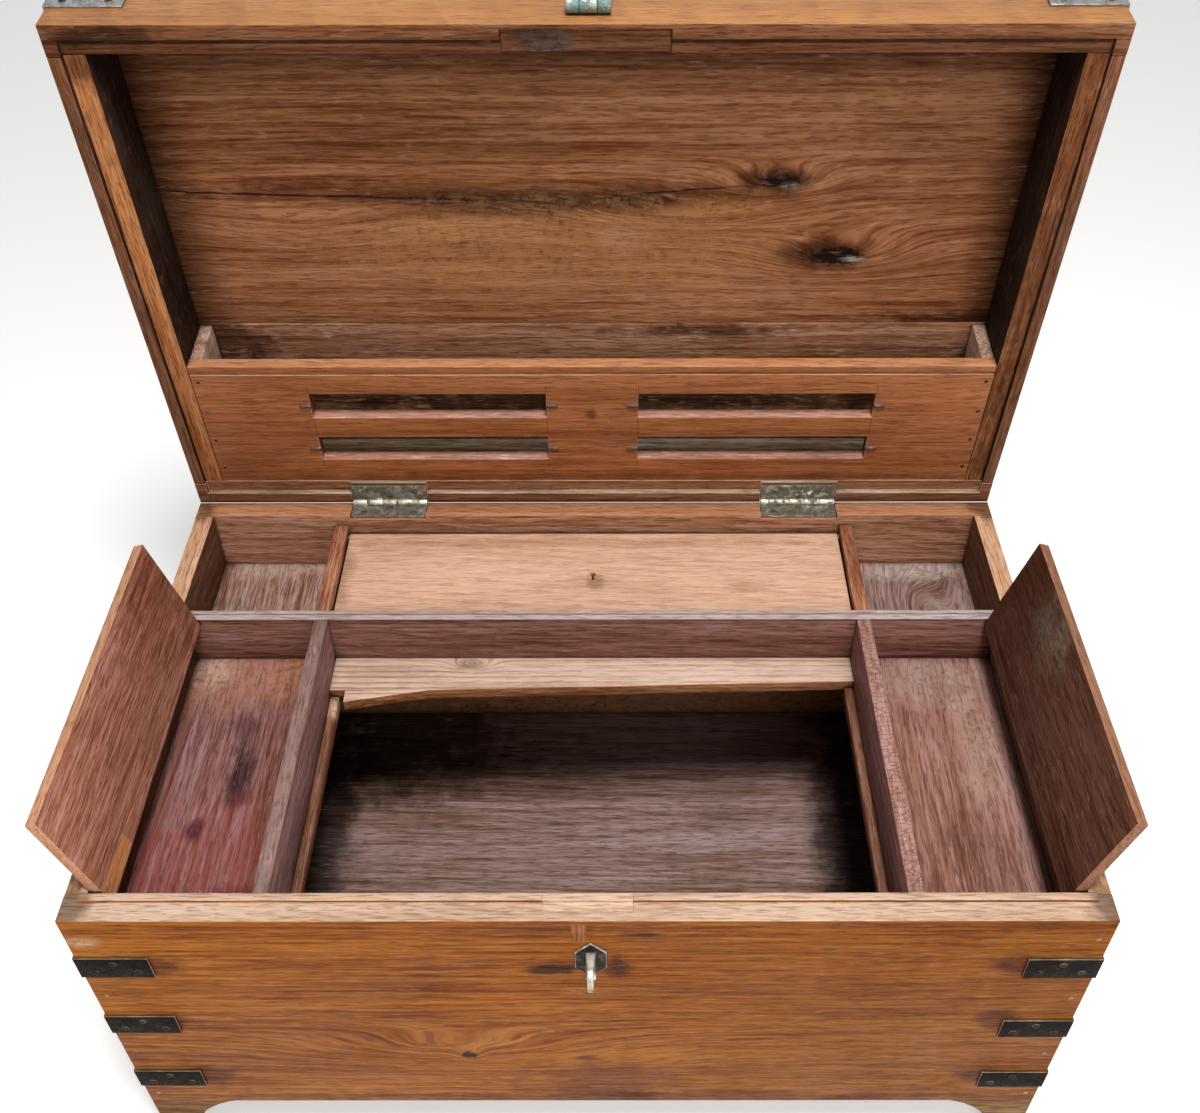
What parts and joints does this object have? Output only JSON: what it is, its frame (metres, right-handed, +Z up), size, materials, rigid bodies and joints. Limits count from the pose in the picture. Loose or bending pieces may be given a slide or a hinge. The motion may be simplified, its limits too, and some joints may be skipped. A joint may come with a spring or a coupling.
{
  "type": "dowry chest",
  "caption": "Iron-strapped wooden dowry chest with bracket feet, a hinged lid holding a letter rack, lidded tills round an open well, and a hasp and staple.",
  "frame": {"origin": "on the floor, under the middle of the open chest's bounding box", "axes": "+Z up, +X to the chest's right as seen from its front, +Y to its back, where the hinges are"},
  "size_m": [0.846, 0.6082, 0.8734],
  "materials": {
    "teak": "worn wax",
    "old_inside_teak": "dry, stained",
    "pale_wood": "planed, unfinished",
    "black_iron": "rusty black",
    "brass": "verdigris"
  },
  "bodies": {
    "box": {"front_board": "teak", "back_board": "teak", "left_end_board": "teak", "right_end_board": "teak", "bottom_front_plank": "teak", "bottom_back_plank": "teak", "front_left_foot": "teak", "front_right_foot": "teak", "rear_left_foot": "teak", "rear_right_foot": "teak", "cross_divider": "old_inside_teak", "left_divider": "old_inside_teak", "right_divider": "old_inside_teak", "rear_left_divider": "old_inside_teak", "rear_right_divider": "old_inside_teak", "left_till_floor": "old_inside_teak", "right_till_floor": "old_inside_teak", "back_till_floor": "old_inside_teak", "front_rim_patch": "pale_wood", "keyhole_plug": "pale_wood", "rear_rail": "pale_wood", "left_runner": "pale_wood", "right_runner": "pale_wood", "box_straps": "black_iron", "box_strap_nails": "black_iron", "carcass_nails": "black_iron", "staple_plate": "black_iron", "staple_loop": "black_iron", "left_handle_plate": "black_iron", "right_handle_plate": "black_iron", "box_screws": "black_iron", "hinge_pins": "black_iron", "left_hinge_box_leaf": "black_iron", "right_hinge_box_leaf": "black_iron"},
    "lid": {"lid_front_rail": "teak", "lid_back_rail": "teak", "lid_left_rail": "teak", "lid_right_rail": "teak", "lid_main_plank": "teak", "lid_rear_plank": "teak", "rack_front_board": "old_inside_teak", "rack_left_end": "old_inside_teak", "rack_right_end": "old_inside_teak", "rack_nails": "black_iron", "lid_straps": "black_iron", "lid_strap_nails": "black_iron", "left_hinge_lid_leaf": "black_iron", "right_hinge_lid_leaf": "black_iron", "lid_screws": "black_iron", "hasp_plate": "brass", "hasp_pin": "black_iron"},
    "hasp": {"hasp_strap": "brass"},
    "left_lid_of_till": {"left_till_lid": "old_inside_teak"},
    "right_lid_of_till": {"right_till_lid": "old_inside_teak"},
    "centre_lid_of_till": {"centre_till_lid": "old_inside_teak", "till_lock_case": "brass"},
    "till_bolt": {"till_lock_bolt": "black_iron"},
    "left_drop_handle": {"left_handle": "black_iron"},
    "right_drop_handle": {"right_handle": "black_iron"}
  },
  "joints": [
    {"name": "lid_hinge", "type": "hinge", "parent": "box", "child": "lid", "pos_m": [0, 0.22235, 0.3583], "axis": [-1, 0, 0], "range_deg": [-84, 0]},
    {"name": "left_till_hinge", "type": "hinge", "parent": "box", "child": "left_lid_of_till", "pos_m": [-0.3763, -0.02715, 0.3445], "axis": [0, -1, 0], "range_deg": [-106, 0]},
    {"name": "right_till_hinge", "type": "hinge", "parent": "box", "child": "right_lid_of_till", "pos_m": [0.3763, -0.02715, 0.3445], "axis": [0, 1, 0], "range_deg": [-106, 0]},
    {"name": "centre_till_hinge", "type": "hinge", "parent": "box", "child": "centre_lid_of_till", "pos_m": [0, 0.19035, 0.337], "axis": [-1, 0, 0], "range_deg": [0, 95]},
    {"name": "till_bolt_slide", "type": "slide", "parent": "centre_lid_of_till", "child": "till_bolt", "axis": [0, -1, 0], "range_m": [0, 0.007]},
    {"name": "hasp_hinge", "type": "hinge", "parent": "lid", "child": "hasp", "pos_m": [0, 0.18677, 0.86234], "axis": [-1, 0, 0], "range_deg": [-180, 0]},
    {"name": "left_handle_hinge", "type": "hinge", "parent": "box", "child": "left_drop_handle", "pos_m": [-0.417, -0.02715, 0.24], "axis": [0, 1, 0], "range_deg": [0, 100]},
    {"name": "right_handle_hinge", "type": "hinge", "parent": "box", "child": "right_drop_handle", "pos_m": [0.417, -0.02715, 0.24], "axis": [0, -1, 0], "range_deg": [0, 100]}
  ],
  "couplings": [
    {"joint": "left_till_hinge", "follows": "lid_hinge", "ratio": 1.2619},
    {"joint": "right_till_hinge", "follows": "lid_hinge", "ratio": 1.2619}
  ]
}
